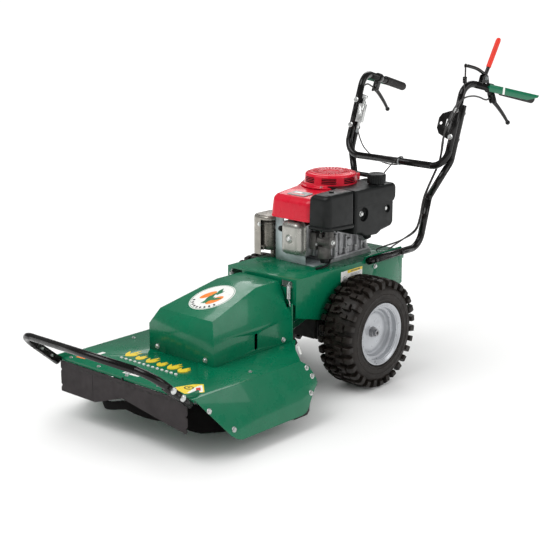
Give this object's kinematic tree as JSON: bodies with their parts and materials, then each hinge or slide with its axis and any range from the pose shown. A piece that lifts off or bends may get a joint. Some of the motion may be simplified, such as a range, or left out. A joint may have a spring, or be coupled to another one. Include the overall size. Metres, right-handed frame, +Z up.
{
  "type": "brush mower",
  "caption": "Walk-behind brush mower: floating blade deck ahead of a box frame with a vertical-shaft engine, two driven wheels and a tubular handle with hand guards and levers.",
  "frame": {"origin": "centre of the machine's footprint on the ground, near the middle of its length", "axes": "+Z up, -Y ahead (the deck end), +Y where the operator stands; +X is the side with the fuel tank and the blade lever"},
  "size_m": [0.782, 2.1194, 1.2179],
  "materials": {
    "green_paint": "gloss",
    "black_paint": "gloss",
    "red_paint": "gloss",
    "zinc": "satin",
    "steel": "satin",
    "cast_alloy": "cast",
    "cast_iron": "cast",
    "black_plastic": "satin",
    "red_plastic": "satin",
    "rubber": "matte",
    "flap_rubber": "matte",
    "tyre_rubber": "matte",
    "cord": "braided",
    "skid_steel": "worn"
  },
  "bodies": {
    "chassis": {"rear_frame": "green_paint", "frame_bolts": "zinc", "transaxle": "cast_iron", "traction_belt": "rubber", "crankcase": "cast_alloy", "cylinder_head": "cast_alloy", "valve_cover": "zinc", "heat_shield": "zinc", "muffler": "steel", "muffler_guard": "steel", "carburettor": "cast_alloy", "air_cleaner_cover": "black_plastic", "fuel_tank": "black_plastic", "fan_shroud": "red_paint", "recoil_housing": "red_paint", "starter_cord": "cord", "handle_lower_left": "black_paint", "handle_lower_right": "black_paint", "handle_upper": "black_paint", "grip_left": "rubber", "grip_right": "rubber", "hand_guards": "green_paint", "control_plates": "black_paint", "throttle_body": "zinc", "lever_clamps": "black_plastic", "control_cables": "rubber", "blade_belt": "rubber", "centring_springs": "zinc"},
    "deck": {"deck_shell": "green_paint", "belt_cover": "green_paint", "deck_bolts": "zinc", "deck_skids": "skid_steel", "push_bar": "black_paint", "flap_rod": "steel", "spindle_housing": "cast_iron", "pivot_shaft": "steel"},
    "spindle": {"spindle_shaft": "steel", "spindle_pulley": "steel", "blade": "steel"},
    "crank": {"crankshaft": "steel", "flywheel_fan": "cast_iron", "drive_pulleys": "steel"},
    "gearbox_input": {"transaxle_pulley": "steel"},
    "wheel_left": {"axle_left": "steel", "rim_left": "steel", "tyre_left": "tyre_rubber"},
    "wheel_right": {"axle_right": "steel", "rim_right": "steel", "tyre_right": "tyre_rubber"},
    "brake_left": {"brake_lever_left": "black_paint"},
    "brake_right": {"brake_lever_right": "black_paint"},
    "clutch_lever": {"blade_lever": "red_plastic"},
    "cable_link": {"clutch_link": "black_paint"},
    "idler": {"idler_arm": "zinc"},
    "idler_wheel": {"idler_pulley": "black_plastic"},
    "throttle": {"throttle_lever": "zinc"},
    "flap": {"front_flap": "flap_rubber"},
    "tank_cap": {"fuel_cap": "black_plastic"},
    "filler_cap": {"oil_cap": "black_plastic"},
    "rope_handle": {"starter_grip": "black_plastic"}
  },
  "joints": [
    {"name": "deck_roll", "type": "hinge", "parent": "chassis", "child": "deck", "pos_m": [0, -0.12, 0.235], "axis": [0, 1, 0], "range_deg": [-12, 12], "stiffness_Nm_per_rad": 300, "deforming": ["blade_belt", "centring_springs"]},
    {"name": "blade_spin", "type": "hinge", "parent": "deck", "child": "spindle", "pos_m": [0, -0.528, 0.2], "axis": [0, 0, 1], "continuous": true},
    {"name": "crank_spin", "type": "hinge", "parent": "chassis", "child": "crank", "pos_m": [0, 0.185, 0.45], "axis": [0, 0, 1], "continuous": true},
    {"name": "input_spin", "type": "hinge", "parent": "chassis", "child": "gearbox_input", "pos_m": [0, 0.05, 0.272], "axis": [0, 0, 1], "continuous": true},
    {"name": "wheel_left_spin", "type": "hinge", "parent": "chassis", "child": "wheel_left", "pos_m": [0.25, 0.1, 0.203], "axis": [1, 0, 0], "continuous": true},
    {"name": "wheel_right_spin", "type": "hinge", "parent": "chassis", "child": "wheel_right", "pos_m": [-0.25, 0.1, 0.203], "axis": [1, 0, 0], "continuous": true},
    {"name": "brake_left_squeeze", "type": "hinge", "parent": "chassis", "child": "brake_left", "pos_m": [0.287, 0.818, 0.978], "axis": [1, 0, 0], "range_deg": [0, 28]},
    {"name": "brake_right_squeeze", "type": "hinge", "parent": "chassis", "child": "brake_right", "pos_m": [-0.287, 0.818, 0.978], "axis": [1, 0, 0], "range_deg": [0, 28]},
    {"name": "clutch_pull", "type": "hinge", "parent": "chassis", "child": "clutch_lever", "pos_m": [0.262, 0.79, 1.066], "axis": [1, 0, 0], "range_deg": [-28, 0]},
    {"name": "cable_link_turn", "type": "hinge", "parent": "clutch_lever", "child": "cable_link", "pos_m": [0.262, 0.676, 1.122], "axis": [1, 0, 0], "range_deg": [-2, 30]},
    {"name": "idler_swing", "type": "hinge", "parent": "chassis", "child": "idler", "pos_m": [-0.128, 0.044, 0.31], "axis": [0, 0, 1], "range_deg": [0, 14]},
    {"name": "idler_spin", "type": "hinge", "parent": "idler", "child": "idler_wheel", "pos_m": [-0.104, -0.0424, 0.301], "axis": [0, 0, 1], "continuous": true},
    {"name": "throttle_swing", "type": "hinge", "parent": "chassis", "child": "throttle", "pos_m": [-0.199, 0.6338, 0.9132], "axis": [0, 0.9441, -0.3296], "range_deg": [-25, 25]},
    {"name": "flap_swing", "type": "hinge", "parent": "deck", "child": "flap", "pos_m": [0, -0.872, 0.201], "axis": [1, 0, 0], "range_deg": [0, 65]},
    {"name": "tank_cap_turn", "type": "hinge", "parent": "chassis", "child": "tank_cap", "pos_m": [0.16, 0.255, 0.73], "axis": [0, 0, 1], "range_deg": [0, 90]},
    {"name": "filler_cap_turn", "type": "hinge", "parent": "chassis", "child": "filler_cap", "pos_m": [0.088, 0.262, 0.5], "axis": [0.866, 0, 0.5], "range_deg": [0, 90]},
    {"name": "rope_pull", "type": "slide", "parent": "chassis", "child": "rope_handle", "axis": [0, 1, 0], "range_m": [0, 0.2], "deforming": ["starter_cord"]}
  ],
  "couplings": [
    {"joint": "crank_spin", "follows": "blade_spin", "ratio": 1.144},
    {"joint": "input_spin", "follows": "blade_spin", "ratio": 0.785},
    {"joint": "idler_spin", "follows": "blade_spin", "ratio": -3},
    {"joint": "cable_link_turn", "follows": "clutch_pull", "ratio": -1},
    {"joint": "idler_swing", "follows": "clutch_pull", "ratio": -0.5}
  ]
}
